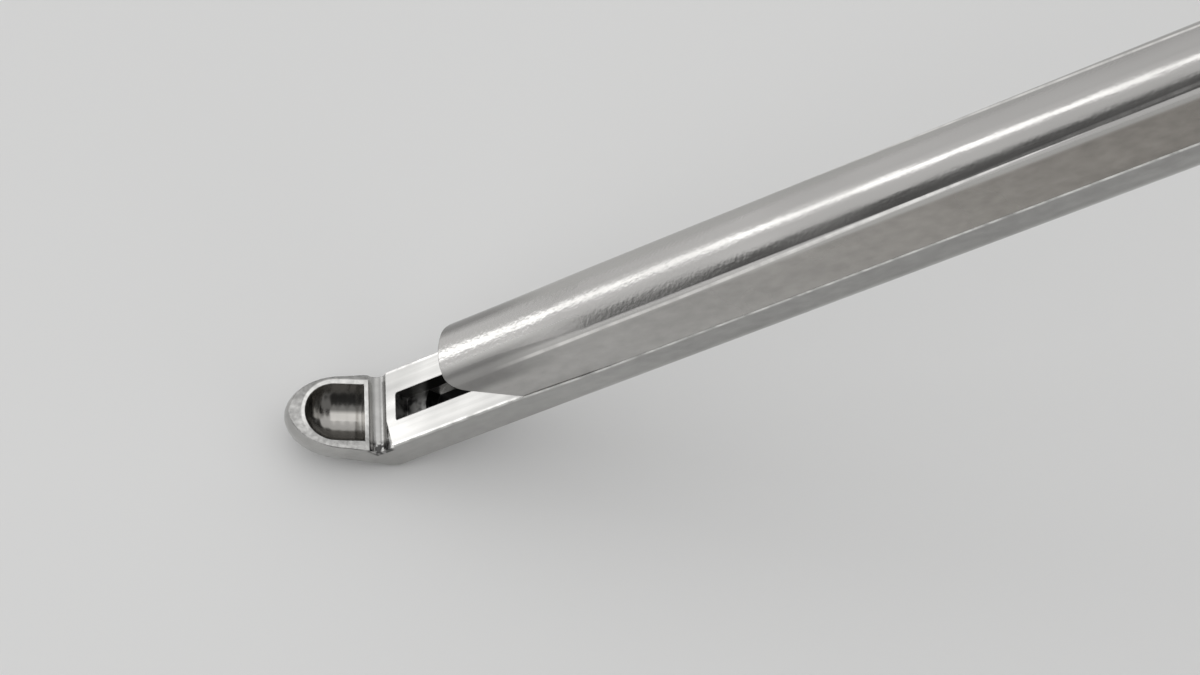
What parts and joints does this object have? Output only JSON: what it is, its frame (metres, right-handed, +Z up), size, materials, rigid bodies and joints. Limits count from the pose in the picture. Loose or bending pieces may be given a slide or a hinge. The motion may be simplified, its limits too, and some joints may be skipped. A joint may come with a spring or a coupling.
{
  "type": "kerrison rongeur",
  "caption": "Hand-held bone punch: a squeezed front handle drives a sliding upper shaft over a fixed lower shaft, and its slanted nose closes on a turned-up footplate.",
  "frame": {"origin": "on the palm side of the fixed rear handle, at mid width, where the web of the hand rests", "axes": "+X forward and +Z up in the stance of the picture, tip on a table: the shaft points forward and down; Y across the instrument"},
  "size_m": [0.2524, 0.0086, 0.1386],
  "materials": {
    "shaft_steel": "satin ground, crown polished",
    "handle_steel": "fine satin",
    "keel_steel": "ground",
    "spring_steel": "polished",
    "fastener_steel": "turned, satin"
  },
  "bodies": {
    "frame": {"lower_shaft": "shaft_steel", "rear_handle": "handle_steel", "shaft_pins": "fastener_steel", "pivot_screw": "fastener_steel", "pivot_nut": "fastener_steel", "guide_screw": "fastener_steel", "rear_leaf_spring": "spring_steel", "rear_spring_screw": "fastener_steel", "rear_spring_dowel": "fastener_steel"},
    "squeeze_handle": {"front_handle": "handle_steel", "front_leaf_spring": "spring_steel", "front_spring_screw": "fastener_steel", "front_spring_dowel": "fastener_steel"},
    "slider": {"upper_shaft": "shaft_steel", "front_keel": "keel_steel", "rear_keel": "keel_steel", "link_screw": "fastener_steel"}
  },
  "joints": [
    {"name": "handle_squeeze", "type": "hinge", "parent": "frame", "child": "squeeze_handle", "pos_m": [0.05276, 0, 0.00305], "axis": [0, 1, 0], "range_deg": [0, 22.84], "stiffness_Nm_per_rad": 1.5, "springref_deg": -11.46, "deforming": ["rear_leaf_spring", "front_leaf_spring"]},
    {"name": "slider_travel", "type": "slide", "parent": "frame", "child": "slider", "axis": [0.7862, 0, -0.6179], "range_m": [0, 0.0101]}
  ],
  "couplings": [
    {"joint": "slider_travel", "follows": "handle_squeeze", "m_per_rad": 0.02533}
  ]
}
